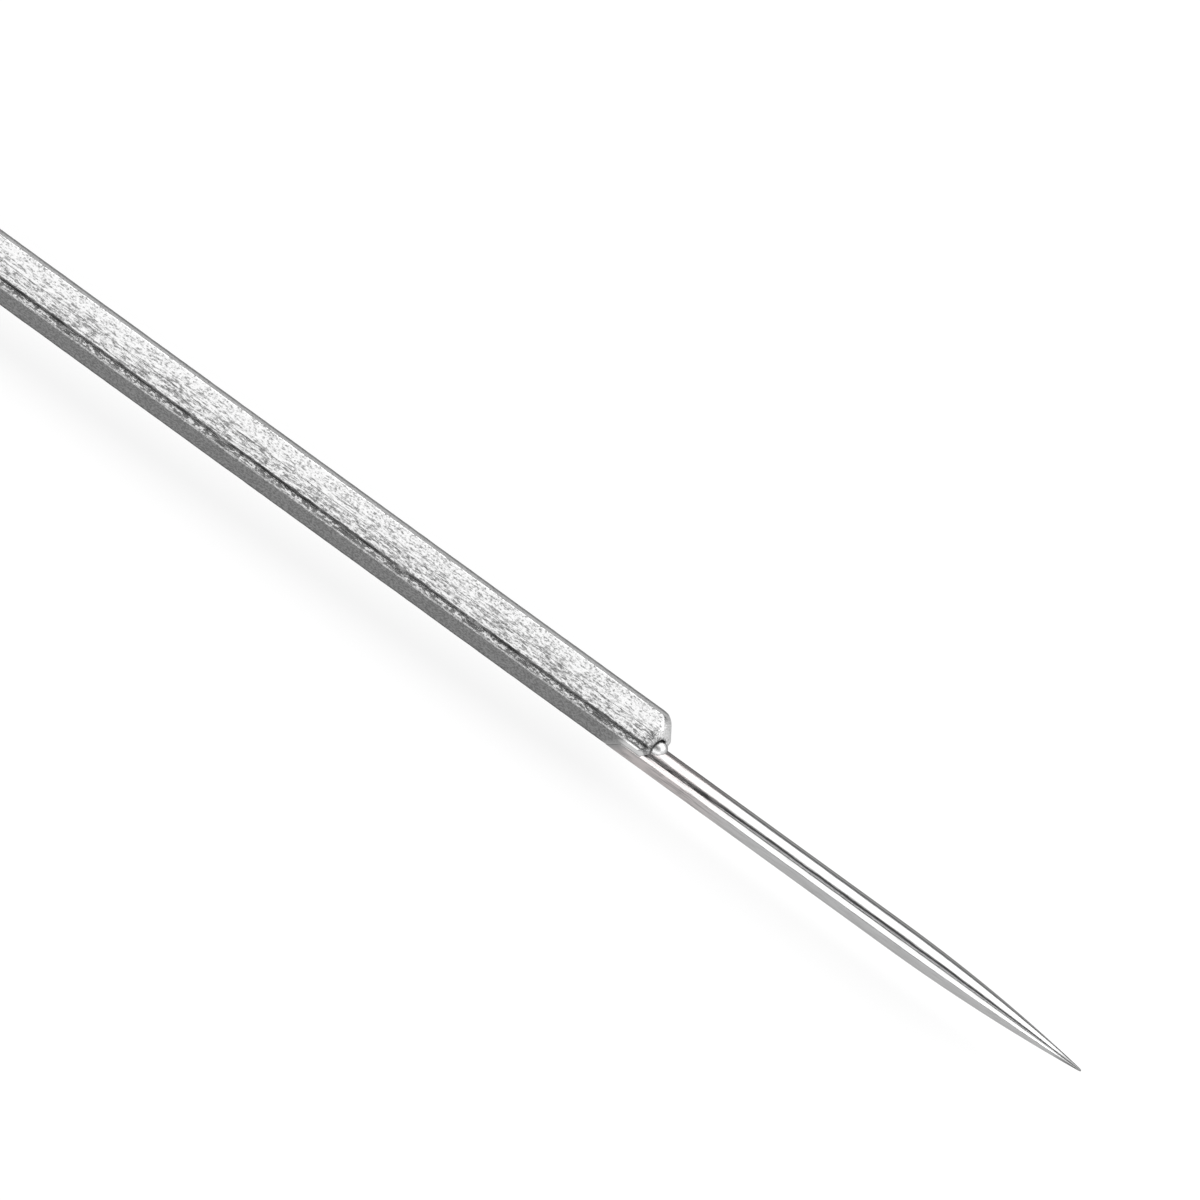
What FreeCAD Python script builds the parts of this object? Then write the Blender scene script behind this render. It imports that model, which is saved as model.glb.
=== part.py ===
import FreeCAD, Part

import math
import os

# A long endodontic hand file: an octagonal satin shank with an offset, polished, needle-pointed
# blade brazed into its nose, a moulded handle on its tail, and a silicone depth stop that slides.
#
# Every piece is drawn about the shank's own axis, which is X, with the point at +X, and is lifted
# by AXIS_HEIGHT when it is written, so the handle's lowest flat lies on Z = 0.
# Angles in a cross-section run from +Y towards +Z. "Back" is a distance from the blade's point.

Vector = FreeCAD.Vector
X_AXIS = Vector(1, 0, 0)
AXIS = Vector(0, 0, 0)

# Driving dimensions, millimetres
OVERALL = 74.0
BLADE_LENGTH = 21.0            # from the point to the shank's rounded nose
POINT_LENGTH = 9.3             # the tapering part of the blade
SHANK_FLATS = 2.35             # across opposite flats of the octagon
HANDLE_LENGTH = 14.0
GRIP_FLATS = 4.8               # across opposite flats of the six-sided grip

# Blade
BLADE_RADIUS = 0.664
BLADE_OFFSET = 0.68            # from the shank's axis, towards one corner of the octagon
BLADE_CORNER = 202.5           # the direction of that corner, degrees
FLUTE_MIDDLE = 119.0           # where the blade's fine flute is deepest, about the blade's axis
FLUTE_HALF_ANGLE = 10.5
FLUTE_DEPTH = 0.11
TANG_RADIUS = 0.40
TANG_LENGTH = 6.0
SHOULDER_BACK = 22.86          # where the blade's full section ends, on the blade's axis
SHOULDER_LEAN = 37.0           # how far that shoulder leans back at its lower edge, degrees
POINT_SECTIONS = 9

# Shank
NOSE_SLOPE = 57.0              # the nose's cone, from the shank's axis, degrees
NOSE_END_RADIUS = 0.36         # the small flat at the cone's end
NOSE_SHOULDER_RADIUS = 0.88    # the rounding from the cone into the bar
TAIL_IN_HANDLE = 11.6
GROOVE_FROM = 0.084            # the shank's groove, measured up its facet from the lower corner
GROOVE_DEEPEST = 0.27
GROOVE_TO = 0.41
GROOVE_DEPTH = 0.12
GROOVED_CORNER = 157.5

# Braze
FILM = 0.04
BEAD_DIRECTION = 35.0          # the side of the blade that the bead stands on
OPEN_DIRECTION = 125.0         # the side that the pocket round the bead opens to
BEAD_OUT, BEAD_LIFT, BEAD_BACK = 0.43, 0.17, 21.34
BEAD_LONG, BEAD_ROUND = 0.50, 0.51
POCKET_OUT, POCKET_LIFT, POCKET_BACK = 0.56, 0.50, 21.44
POCKET_LONG, POCKET_ROUND = 0.46, 0.40

# Handle, all about the shank's axis
CORE_RADIUS = 1.75
CORE_WALL_BEHIND_TAIL = 0.4
COLLAR_LENGTH, COLLAR_RADIUS = 1.4, 2.1
COLLAR_CONE, COLLAR_FRONT_RADIUS = 0.6, 1.8
COLLAR_WALL = 0.3              # in front of the core's end
RING_LENGTH, RING_RADIUS, RING_EDGE = 0.9, 2.3, 0.15
CAP_LENGTH, CAP_RADIUS = 2.8, 2.4
CAP_CHAMFER = 0.5
CAP_RIM = 1.3                  # the straight part of the cap's rim
CAP_NECK_RADIUS = 2.15
DIMPLE_BALL, DIMPLE_DEPTH = 3.5, 0.25
GRIP_CORNER_ROUND = 0.5
GRIP_TAIL_BEVEL, GRIP_TAIL_RADIUS = 0.5, 2.25
GRIP_FRONT_BEVEL, GRIP_FRONT_RADIUS = 0.9, 2.15
RIB_GROOVES, RIB_GROOVE_RADIUS, RIB_GROOVE_DEPTH = 7, 0.45, 0.28
PIN_RADIUS, PIN_LENGTH, PIN_BACK = 0.3, 3.2, 66.4

# Depth stop
STOP_RADIUS, STOP_LENGTH, STOP_EDGE = 2.2, 1.6, 0.35
STOP_GAP = 0.2                 # between the parked stop and the collar
STOP_CLEARANCE = 0.03          # all round the shank's flats
STOP_NOTCH_ANGLE, STOP_NOTCH_DEPTH = 84.0, 0.5
STOP_NOTCH_DIRECTION = 90.0

# Room for cutting and joining
PAST = 1.0                     # how far a cutter or an overlap runs past the face that it meets
SHOULDER_ROOM = 1.5            # how far behind its middle the leaning shoulder reaches
NOSE_SPARE = 0.01              # the nose's envelope stands this far outside the octagon's corners
BLOCK = 8.0                    # a cutting block larger than any cross-section

# Worked out from those
AXIS_HEIGHT = GRIP_FLATS / 2
X_POINT = OVERALL / 2
HANDLE_BACK = OVERALL - HANDLE_LENGTH
TAIL_BACK = HANDLE_BACK + TAIL_IN_HANDLE
APOTHEM = SHANK_FLATS / 2
FACET_HALF = 22.5              # half the turn between two facets, degrees
SHANK_CORNER_RADIUS = APOTHEM / math.cos(math.radians(FACET_HALF))
FLAT_DISTANCE = APOTHEM - BLADE_OFFSET * math.cos(math.radians(FACET_HALF))
FLAT_HALF_ANGLE = math.degrees(math.acos(FLAT_DISTANCE / BLADE_RADIUS))


def back(distance):
    """The X of a place this far back from the blade's point."""
    return X_POINT - distance


def polar(radius, degrees, centre=AXIS):
    """A point of a cross-section, at X = 0."""
    turn = math.radians(degrees)
    return centre + Vector(0, radius * math.cos(turn), radius * math.sin(turn))


def prism(points, x_from, x_to):
    """A straight bar with this polygon as its section."""
    start = [Vector(x_from, p.y, p.z) for p in points]
    face = Part.Face(Part.makePolygon(start + start[:1]))
    return face.extrude(Vector(x_to - x_from, 0, 0))


def rod(radius, x_from, x_to, centre=AXIS):
    """A round bar along X."""
    return Part.makeCylinder(radius, x_to - x_from, Vector(x_from, centre.y, centre.z), X_AXIS)


def turned(outline):
    """A solid turned about X from (x, radius) points, closed along the axis."""
    points = [Vector(x, r, 0) for x, r in outline]
    face = Part.Face(Part.makePolygon(points + points[:1]))
    return face.revolve(AXIS, X_AXIS, 360)


def spheroid(centre, long_half, round_half):
    """An egg shape with its long or short axis along X."""
    ball = Part.makeSphere(round_half)
    stretch = FreeCAD.Matrix()
    stretch.scale(long_half / round_half, 1, 1)
    egg = ball.transformGeometry(stretch)
    egg.translate(centre)
    return egg


def octagon(flats):
    corner = flats / 2 / math.cos(math.radians(FACET_HALF))
    return [polar(corner, FACET_HALF + 45 * i) for i in range(8)]


BLADE_CENTRE = polar(BLADE_OFFSET, BLADE_CORNER)
BEAD_SIDE = polar(1, BEAD_DIRECTION)
OPEN_SIDE = polar(1, OPEN_DIRECTION)


def blade_wire(x, scale):
    """The blade's section: a round bar with two flats that meet in a corner, and a fine flute."""
    flute_low = FLUTE_MIDDLE + FLUTE_HALF_ANGLE
    flute_high = FLUTE_MIDDLE - FLUTE_HALF_ANGLE
    side_flat_top = BLADE_CORNER - FACET_HALF - FLAT_HALF_ANGLE
    low_flat_end = BLADE_CORNER + FACET_HALF + FLAT_HALF_ANGLE - 360

    def at(degrees, radius=BLADE_RADIUS):
        p = polar(radius * scale, degrees, BLADE_CENTRE)
        return Vector(x, p.y, p.z)

    corner = at(BLADE_CORNER, SHANK_CORNER_RADIUS - BLADE_OFFSET)
    deepest = at(FLUTE_MIDDLE, BLADE_RADIUS - FLUTE_DEPTH)
    back_middle = (flute_high + low_flat_end) / 2
    edges = [
        Part.LineSegment(corner, at(side_flat_top)),
        Part.Arc(at(side_flat_top), at((side_flat_top + flute_low) / 2), at(flute_low)),
        Part.LineSegment(at(flute_low), deepest),
        Part.LineSegment(deepest, at(flute_high)),
        Part.Arc(at(flute_high), at((flute_high + back_middle) / 2), at(back_middle)),
        Part.Arc(at(back_middle), at((back_middle + low_flat_end) / 2), at(low_flat_end)),
        Part.LineSegment(at(low_flat_end), corner),
    ]
    return Part.Wire([e.toShape() for e in edges])


def behind_shoulder(extra):
    """Everything behind the leaning shoulder of the blade, which `extra` sets further back."""
    block = Part.makeBox(BLOCK, BLOCK, BLOCK, Vector(-BLOCK, -BLOCK / 2, -BLOCK / 2))
    block.rotate(AXIS, Vector(0, 1, 0), SHOULDER_LEAN)
    block.translate(Vector(back(SHOULDER_BACK + extra), 0, BLADE_CENTRE.z))
    return block


def point_scale(distance):
    """How wide the blade is at this distance from its point: an arc tangent to the straight part."""
    left = (POINT_LENGTH - distance) / POINT_LENGTH
    arc = (BLADE_RADIUS ** 2 + POINT_LENGTH ** 2) / (2 * BLADE_RADIUS)
    drop = arc - math.sqrt(arc ** 2 - (left * POINT_LENGTH) ** 2)
    return 1 - drop / BLADE_RADIUS


def make_blade():
    far = SHOULDER_BACK + SHOULDER_ROOM
    straight = Part.Face(blade_wire(back(far), 1)).extrude(Vector(far - POINT_LENGTH, 0, 0))
    straight = straight.cut(behind_shoulder(0))
    stations = [POINT_LENGTH * (1 - i / POINT_SECTIONS) for i in range(POINT_SECTIONS)]
    sections = [blade_wire(back(d), point_scale(d)) for d in stations]
    tip = Part.Vertex(X_POINT, BLADE_CENTRE.y, BLADE_CENTRE.z)
    point = Part.makeLoft(sections + [tip], True, False)
    x_tang = back(SHOULDER_BACK + TANG_LENGTH)
    tang = rod(TANG_RADIUS, x_tang, back(SHOULDER_BACK - PAST), BLADE_CENTRE)
    return straight.fuse([point, tang])


def make_socket_space():
    """The room in the shank's nose for the blade with a film of braze all round it."""
    x_wide = back(SHOULDER_BACK + SHOULDER_ROOM)
    wide = rod(BLADE_RADIUS + FILM, x_wide, back(POINT_LENGTH), BLADE_CENTRE)
    wide = wide.cut(behind_shoulder(FILM))
    x_end = back(SHOULDER_BACK + TANG_LENGTH + FILM)
    narrow = rod(TANG_RADIUS + FILM, x_end, back(SHOULDER_BACK - PAST), BLADE_CENTRE)
    return wide.fuse(narrow)


def nose_envelope(x_from, x_nose):
    """A round bar whose front end is a blunt cone with a rounded shoulder."""
    slope = math.radians(NOSE_SLOPE)
    wide = SHANK_CORNER_RADIUS + NOSE_SPARE
    cone_length = (wide - NOSE_END_RADIUS) / math.tan(slope)
    x_round = x_nose - cone_length - NOSE_SHOULDER_RADIUS * math.tan(slope / 2)
    centre = Vector(x_round, wide - NOSE_SHOULDER_RADIUS, 0)

    def on_shoulder(turn):
        return centre + Vector(math.sin(turn), math.cos(turn), 0) * NOSE_SHOULDER_RADIUS

    corners = [
        on_shoulder(slope),
        Vector(x_nose, NOSE_END_RADIUS, 0),
        Vector(x_nose, 0, 0),
        Vector(x_from, 0, 0),
        Vector(x_from, wide, 0),
        on_shoulder(0),
    ]
    edges = [Part.makeLine(a, b) for a, b in zip(corners, corners[1:])]
    edges.append(Part.Arc(on_shoulder(0), on_shoulder(slope / 2), on_shoulder(slope)).toShape())
    return Part.Face(Part.Wire(edges)).revolve(AXIS, X_AXIS, 360)


def make_shank_blank():
    """The octagonal bar with its groove and its rounded nose, before the socket is cut."""
    x_tail = back(TAIL_BACK)
    x_nose = back(BLADE_LENGTH)
    up_facet = polar(1, GROOVED_CORNER - FACET_HALF - 90)
    inward = polar(-1, GROOVED_CORNER - FACET_HALF)
    lower_corner = polar(SHANK_CORNER_RADIUS, GROOVED_CORNER)
    groove = [
        lower_corner + up_facet * GROOVE_TO,
        lower_corner + up_facet * GROOVE_DEEPEST + inward * GROOVE_DEPTH,
        lower_corner + up_facet * GROOVE_FROM,
    ]
    corners = octagon(SHANK_FLATS)
    bar = prism(corners[:3] + groove + corners[3:], x_tail, x_nose)
    return bar.common(nose_envelope(x_tail - PAST, x_nose))


def make_pocket():
    """The recess in the nose that shows the bead."""
    centre = BLADE_CENTRE + BEAD_SIDE * POCKET_OUT + OPEN_SIDE * POCKET_LIFT
    return spheroid(Vector(back(POCKET_BACK), centre.y, centre.z), POCKET_LONG, POCKET_ROUND)


def make_bead():
    """The rounded bead of braze that stands at the socket's mouth."""
    centre = BLADE_CENTRE + BEAD_SIDE * BEAD_OUT + OPEN_SIDE * BEAD_LIFT
    return spheroid(Vector(back(BEAD_BACK), centre.y, centre.z), BEAD_LONG, BEAD_ROUND)


def make_shank(pin_hole):
    """The shank without the room that the blade, its braze and the cross pin take."""
    return make_shank_blank().cut([make_socket_space(), make_pocket(), make_bead(), pin_hole])


def make_braze(blade):
    """The film in the socket and the bead at its mouth, as one piece."""
    film = make_shank_blank().common(make_socket_space())
    return film.fuse(make_bead()).cut(blade)


def make_pin():
    """The pin that crosses the handle core and the shank's tail and holds them together."""
    start = Vector(back(PIN_BACK), -PIN_LENGTH / 2, 0)
    return Part.makeCylinder(PIN_RADIUS, PIN_LENGTH, start, Vector(0, 1, 0))


def tail_space():
    """The octagonal hole that the shank's tail fills."""
    return prism(octagon(SHANK_FLATS), back(TAIL_BACK), back(HANDLE_BACK - PAST))


def make_core(pin_hole):
    x_from = back(TAIL_BACK + CORE_WALL_BEHIND_TAIL)
    core = rod(CORE_RADIUS, x_from, back(HANDLE_BACK + COLLAR_WALL))
    return core.cut([tail_space(), pin_hole])


def make_collar():
    """The cone-fronted ring that closes the front of the handle over the core's end."""
    x_from, x_front = back(HANDLE_BACK + COLLAR_LENGTH), back(HANDLE_BACK)
    outline = [
        (x_from, 0),
        (x_from, COLLAR_RADIUS),
        (x_front - COLLAR_CONE, COLLAR_RADIUS),
        (x_front, COLLAR_FRONT_RADIUS),
        (x_front, 0),
    ]
    seat = rod(CORE_RADIUS, x_from - PAST, back(HANDLE_BACK + COLLAR_WALL))
    return turned(outline).cut([seat, tail_space()])


def make_grip():
    """The soft six-sided sleeve, with a ring groove between each pair of ribs."""
    x_from = back(OVERALL - CAP_LENGTH - RING_LENGTH)
    x_to = back(HANDLE_BACK + COLLAR_LENGTH)
    corner = GRIP_FLATS / 2 / math.cos(math.radians(30))
    hexagon = [polar(corner, 60 * i) for i in range(6)]
    sleeve = prism(hexagon, x_from, x_to)
    lengthwise = [e for e in sleeve.Edges if abs(e.Length - (x_to - x_from)) < 1e-6]
    sleeve = sleeve.makeFillet(GRIP_CORNER_ROUND, lengthwise)
    round_limit = turned([
        (x_from, 0),
        (x_from, GRIP_TAIL_RADIUS),
        (x_from + GRIP_TAIL_BEVEL, corner),
        (x_to - GRIP_FRONT_BEVEL, corner),
        (x_to, GRIP_FRONT_RADIUS),
        (x_to, 0),
    ])
    sleeve = sleeve.common(round_limit)
    pitch = (x_to - x_from) / (RIB_GROOVES + 1)
    ring_radius = GRIP_FLATS / 2 + RIB_GROOVE_RADIUS - RIB_GROOVE_DEPTH
    grooves = [
        Part.makeTorus(ring_radius, RIB_GROOVE_RADIUS, Vector(x_from + pitch * (i + 1), 0, 0), X_AXIS)
        for i in range(RIB_GROOVES)
    ]
    bore = rod(CORE_RADIUS, x_from - PAST, x_to + PAST)
    return sleeve.cut(grooves + [bore])


def make_ring():
    """The coloured ring that shows the file's size."""
    x_from = back(OVERALL - CAP_LENGTH)
    ring = rod(RING_RADIUS, x_from, x_from + RING_LENGTH)
    edges = [e for e in ring.Edges if isinstance(e.Curve, Part.Circle)]
    ring = ring.makeFillet(RING_EDGE, edges)
    return ring.cut(rod(CORE_RADIUS, x_from - PAST, x_from + RING_LENGTH + PAST))


def make_cap():
    """The cap on the handle's end: a chamfered rim, a neck over the core and a dimpled face."""
    x_end, x_front = back(OVERALL), back(OVERALL - CAP_LENGTH)
    x_neck = x_end + CAP_CHAMFER + CAP_RIM
    cap = turned([
        (x_end, 0),
        (x_end, CAP_RADIUS - CAP_CHAMFER),
        (x_end + CAP_CHAMFER, CAP_RADIUS),
        (x_neck, CAP_RADIUS),
        (x_neck, CAP_NECK_RADIUS),
        (x_front, CAP_NECK_RADIUS),
        (x_front, 0),
    ])
    seat = rod(CORE_RADIUS, back(TAIL_BACK + CORE_WALL_BEHIND_TAIL), x_front + PAST)
    dimple = Part.makeSphere(DIMPLE_BALL, Vector(x_end + DIMPLE_DEPTH - DIMPLE_BALL, 0, 0))
    return cap.cut([seat, dimple])


def make_stop():
    """The silicone disc, its octagonal hole and the notch that shows its direction."""
    x_from = back(HANDLE_BACK - STOP_GAP)
    x_to = x_from + STOP_LENGTH
    disc = rod(STOP_RADIUS, x_from, x_to)
    edges = [e for e in disc.Edges if isinstance(e.Curve, Part.Circle)]
    disc = disc.makeFillet(STOP_EDGE, edges)
    hole = prism(octagon(SHANK_FLATS + 2 * STOP_CLEARANCE), x_from - PAST, x_to + PAST)
    bottom, top = STOP_RADIUS - STOP_NOTCH_DEPTH, STOP_RADIUS + PAST
    half = (top - bottom) * math.tan(math.radians(STOP_NOTCH_ANGLE / 2))
    triangle = [Vector(0, -half, top), Vector(0, 0, bottom), Vector(0, half, top)]
    notch = prism(triangle, x_from - PAST, x_to + PAST)
    notch.rotate(AXIS, X_AXIS, STOP_NOTCH_DIRECTION - 90)
    return disc.cut([hole, notch])


def write(name, shape):
    """Lifts a piece to its height above the surface, tidies it and writes it as one STEP file."""
    shape = shape.removeSplitter()
    solid = shape.Solids[0].translated(Vector(0, 0, AXIS_HEIGHT))
    assert len(shape.Solids) == 1 and solid.isValid(), (name, len(shape.Solids))
    solid.exportStep(os.path.join("parts", name + ".step"))
    box = solid.BoundBox
    print(f"{name:14} {solid.Volume:9.4f} mm3  x {box.XMin:8.3f} {box.XMax:8.3f}"
          f"  y {box.YMin:7.3f} {box.YMax:7.3f}  z {box.ZMin:7.3f} {box.ZMax:7.3f}")


blade = make_blade()
pin = make_pin()
pieces = {
    "file_blade": blade,
    "braze_joint": make_braze(blade),
    "shank": make_shank(pin),
    "tail_pin": pin,
    "handle_core": make_core(pin),
    "front_collar": make_collar(),
    "grip_sleeve": make_grip(),
    "size_ring": make_ring(),
    "end_cap": make_cap(),
    "depth_stop": make_stop(),
}
os.makedirs("parts", exist_ok=True)
for name, shape in pieces.items():
    write(name, shape)
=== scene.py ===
# %% [markdown]
# # A long endodontic hand file
#
# The file is a satin steel bar with eight sides, called the shank. A thin polished blade with a
# needle point is brazed into one corner of its blunt nose. A moulded handle closes the other end,
# and a silicone disc slides along the shank to mark how deep the blade may go.
#
# Almost every piece here follows one idea: a list of closed rings, set side by side along the
# file's axis and skinned with four-sided faces. A formula gives the radius of each ring, so a flat,
# a groove or a cone is a line of arithmetic, and the finished mesh is as fine as its rings.

# %% The frame
import math

import bpy
import bmesh
from mathutils import Matrix, Vector, noise


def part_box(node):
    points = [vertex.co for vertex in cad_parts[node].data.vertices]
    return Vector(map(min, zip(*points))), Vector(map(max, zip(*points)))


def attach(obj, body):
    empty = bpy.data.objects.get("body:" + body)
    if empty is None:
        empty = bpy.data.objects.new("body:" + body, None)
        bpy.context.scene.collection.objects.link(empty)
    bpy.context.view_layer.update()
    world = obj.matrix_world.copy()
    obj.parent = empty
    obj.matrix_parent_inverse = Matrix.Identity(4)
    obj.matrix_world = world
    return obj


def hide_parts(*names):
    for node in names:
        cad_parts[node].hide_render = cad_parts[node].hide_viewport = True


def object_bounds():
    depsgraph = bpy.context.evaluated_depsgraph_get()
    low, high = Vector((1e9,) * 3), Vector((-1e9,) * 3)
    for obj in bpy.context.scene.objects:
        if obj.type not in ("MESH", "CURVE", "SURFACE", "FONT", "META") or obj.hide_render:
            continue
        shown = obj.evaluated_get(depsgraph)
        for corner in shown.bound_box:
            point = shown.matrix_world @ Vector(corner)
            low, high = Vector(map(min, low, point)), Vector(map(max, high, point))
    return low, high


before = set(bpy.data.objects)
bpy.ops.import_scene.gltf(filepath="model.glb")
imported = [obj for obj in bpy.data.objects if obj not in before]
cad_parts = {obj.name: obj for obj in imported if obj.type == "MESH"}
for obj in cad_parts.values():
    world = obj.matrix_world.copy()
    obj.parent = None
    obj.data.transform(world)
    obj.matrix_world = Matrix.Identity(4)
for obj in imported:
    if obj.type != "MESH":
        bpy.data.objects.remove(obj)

CAD_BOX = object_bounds()
MM = 0.001
print("design box, mm:", [[round(v / MM, 2) for v in corner] for corner in CAD_BOX])

# %% [markdown]
# ## Places that the design gives
#
# The design model says where everything is. The shank's box gives the height of the axis and the
# width across its flats, and the blade's box gives the place of its point. Lengths below are in
# millimetres. A cross-section's angles run from +Y towards +Z, and the camera's side is -Y.

# %% Places


def span(node, axis):
    """The lowest and highest place of a design node along one axis, in millimetres."""
    low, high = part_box(node)
    return low[axis] / MM, high[axis] / MM


def polar(radius, turn):
    """The (y, z) of a point of the cross-section."""
    return radius * math.cos(turn), radius * math.sin(turn)


TAIL_X, NOSE_X = span("shank", 0)
POINT_X = span("file_blade", 0)[1]
SHANK_LOW, SHANK_HIGH = span("shank", 2)
AXIS_HEIGHT = (SHANK_LOW + SHANK_HIGH) / 2
APOTHEM = (SHANK_HIGH - SHANK_LOW) / 2
HALF_FACET = math.radians(22.5)
CORNER_RADIUS = APOTHEM / math.cos(HALF_FACET)
print("axis height, across flats, corner radius, mm:",
      round(AXIS_HEIGHT, 3), round(2 * APOTHEM, 3), round(CORNER_RADIUS, 3))

# %% [markdown]
# ## Sizes that a box does not give
#
# How blunt the nose is and how the blade is set are named here, as the design has them. The blade
# is a rod whose centre stands off the shank's axis, towards one corner. Its tang, a thinner rod,
# sits in a hole in the nose, the full width starts at a slanted shoulder, and a film of braze fills
# the gap all round.

# %% The nose, the blade and the film
NOSE_SLOPE = math.radians(57)
NOSE_END_RADIUS, NOSE_SHOULDER_RADIUS = 0.36, 0.88
BLADE_RADIUS, BLADE_OFFSET, BLADE_LENGTH = 0.664, 0.68, 22.86
BLADE_CORNER = math.radians(202.5)
BLADE_CENTRE = polar(BLADE_OFFSET, BLADE_CORNER)
POINT_LENGTH = 9.3
SHOULDER_X = POINT_X - BLADE_LENGTH
SHOULDER_LEAN = math.tan(math.radians(37))
TANG_RADIUS, TANG_LENGTH = 0.4, 6.0
FILM = 0.04
print("blade's centre from the shank's axis, mm:", [round(v, 3) for v in BLADE_CENTRE])

# %% [markdown]
# ## Skinning rings
#
# A piece is a list of rings with the same number of points. Neighbouring rings are joined by
# quads. Where the piece is solid, the first and last rings are closed with a fan to one middle
# point, and where it has a bore, the last ring joins the first, as in a tyre. Edges sharper than
# a given angle stay crisp, and the rest are shaded smooth.

# %% A skin over rings


def smooth_piece(name, vertices, faces, sharp_degrees):
    """A mesh object from points in millimetres about the shank's axis, with outward faces."""
    mesh = bpy.data.meshes.new(name)
    lifted = [(x * MM, y * MM, (z + AXIS_HEIGHT) * MM) for x, y, z in vertices]
    mesh.from_pydata(lifted, [], faces)
    work = bmesh.new()
    work.from_mesh(mesh)
    bmesh.ops.recalc_face_normals(work, faces=work.faces)
    work.to_mesh(mesh)
    work.free()
    mesh.shade_smooth()
    mesh.set_sharp_from_angle(angle=math.radians(sharp_degrees))
    piece = bpy.data.objects.new(name, mesh)
    bpy.context.scene.collection.objects.link(piece)
    return piece


def skin(name, rings, looped=False, sharp_degrees=35):
    """Skins closed rings of points. A looped skin joins its last ring to its first."""
    around = len(rings[0])
    vertices = [point for ring in rings for point in ring]
    faces = []
    pairs = len(rings) if looped else len(rings) - 1
    for i in range(pairs):
        low, high = i * around, (i + 1) % len(rings) * around
        for j in range(around):
            k = (j + 1) % around
            faces.append((low + j, low + k, high + k, high + j))
    if not looped:
        for start in (0, (len(rings) - 1) * around):
            ring = range(start, start + around)
            middle = [sum(vertices[i][axis] for i in ring) / around for axis in range(3)]
            vertices.append(middle)
            faces += [(i, start + (i + 1 - start) % around, len(vertices) - 1) for i in ring]
    return smooth_piece(name, vertices, faces, sharp_degrees)


def spread(start, end, count):
    """Evenly spaced numbers from start to end, both included."""
    return [start + (end - start) * i / (count - 1) for i in range(count)]


print("five places from 0 to 1:", spread(0, 1, 5))

# %% [markdown]
# ## The shank's section
#
# Eight flats with barely rounded corners, and one shallow groove just above the lower corner of
# the facet on the camera's side. The outline is drawn once as a list of (y, z) points. The corners
# get short arcs, because a real arris always has a radius and catches a line of light.

# %% The octagon with its groove
ARRIS, GROOVED_ARRIS = 0.05, 0.03
GROOVED_CORNER = math.radians(157.5)
GROOVED_FACET = GROOVED_CORNER - HALF_FACET
GROOVE_FROM, GROOVE_DEEPEST, GROOVE_TO, GROOVE_DEPTH = 0.084, 0.27, 0.41, 0.12
GROOVE_LIP, GROOVE_BOTTOM = 0.02, 0.015
ARC_STEPS, POINT_GAP = 4, 0.06


def rounded_outline(corners, radii):
    """A closed outline with an arc at each corner and points no further apart than the gap."""
    outline = []
    count = len(corners)
    for i, corner in enumerate(corners):
        here = Vector(corner)
        before = (Vector(corners[i - 1]) - here).normalized()
        after = (Vector(corners[(i + 1) % count]) - here).normalized()
        half = before.angle(after) / 2
        setback = radii[i] / math.tan(half)
        centre = here + (before + after).normalized() * (radii[i] / math.sin(half))
        first = (here + before * setback - centre).normalized()
        last = (here + after * setback - centre).normalized()
        for step in range(ARC_STEPS + 1):
            arm = first.slerp(last, step / ARC_STEPS)
            outline.append(centre + arm * radii[i])
    spaced = []
    for i, point in enumerate(outline):
        following = outline[(i + 1) % len(outline)]
        pieces = max(1, math.ceil((following - point).length / POINT_GAP))
        spaced += [point.lerp(following, k / pieces) for k in range(pieces)]
    return [(p.x, p.y) for p in spaced]


def shank_outline():
    """The octagon, with the groove's three points before its grooved corner."""
    corners = [polar(CORNER_RADIUS, HALF_FACET + i * math.pi / 4) for i in range(8)]
    up = polar(1, GROOVED_FACET - math.pi / 2)
    inward = polar(-1, GROOVED_FACET)
    low = corners[3]

    def on_facet(along, deep=0.0):
        return tuple(low[k] + up[k] * along + inward[k] * deep for k in range(2))

    groove = [on_facet(GROOVE_TO), on_facet(GROOVE_DEEPEST, GROOVE_DEPTH), on_facet(GROOVE_FROM)]
    corners[3:3] = groove
    radii = [ARRIS] * 3 + [GROOVE_LIP, GROOVE_BOTTOM, GROOVE_LIP, GROOVED_ARRIS] + [ARRIS] * 4
    return rounded_outline(corners, radii)


SHANK_OUTLINE = shank_outline()
print("points round the shank:", len(SHANK_OUTLINE))

# %% [markdown]
# ## The blasted surface and the groove's depth
#
# The bar is blasted with grit, so its flats are not mirror-flat: a little real relief, longer along
# the bar than across it, breaks up the light before any bump is added. The groove was cut with a
# hand-guided tool, so its depth varies along the bar. Both are noise in space, sampled at each
# point, so neighbouring points move together.

# %% Relief and groove
ROLLING_DEPTH, PITTED_DEPTH = 0.006, 0.005
MOST_FILLED = 0.5


def blasted(x, y, z):
    """The relief of the blasted surface, sunk so that it hardly leaves the design's size."""
    rolling = noise.noise(Vector((x * 1.1, y * 2.6, z * 2.6)))
    pitted = noise.noise(Vector((x * 4.3 + 7, y * 9, z * 9)))
    return ROLLING_DEPTH * rolling + PITTED_DEPTH * pitted - ROLLING_DEPTH


def groove_fill(x, y, z):
    """How far to push a point of the groove back out, in millimetres."""
    gap = APOTHEM - (y * math.cos(GROOVED_FACET) + z * math.sin(GROOVED_FACET))
    up = (y * math.sin(GROOVED_FACET) - z * math.cos(GROOVED_FACET)
          + CORNER_RADIUS * math.sin(HALF_FACET))
    if gap > GROOVE_DEPTH or not GROOVE_FROM < up < GROOVE_TO:
        return 0.0
    return gap * min(MOST_FILLED, max(0.0, noise.noise(Vector((x * 0.8, 3, 5))) - 0.05))


print("relief at the nose, mm:", round(blasted(NOSE_X, 0, APOTHEM), 4))

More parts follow.
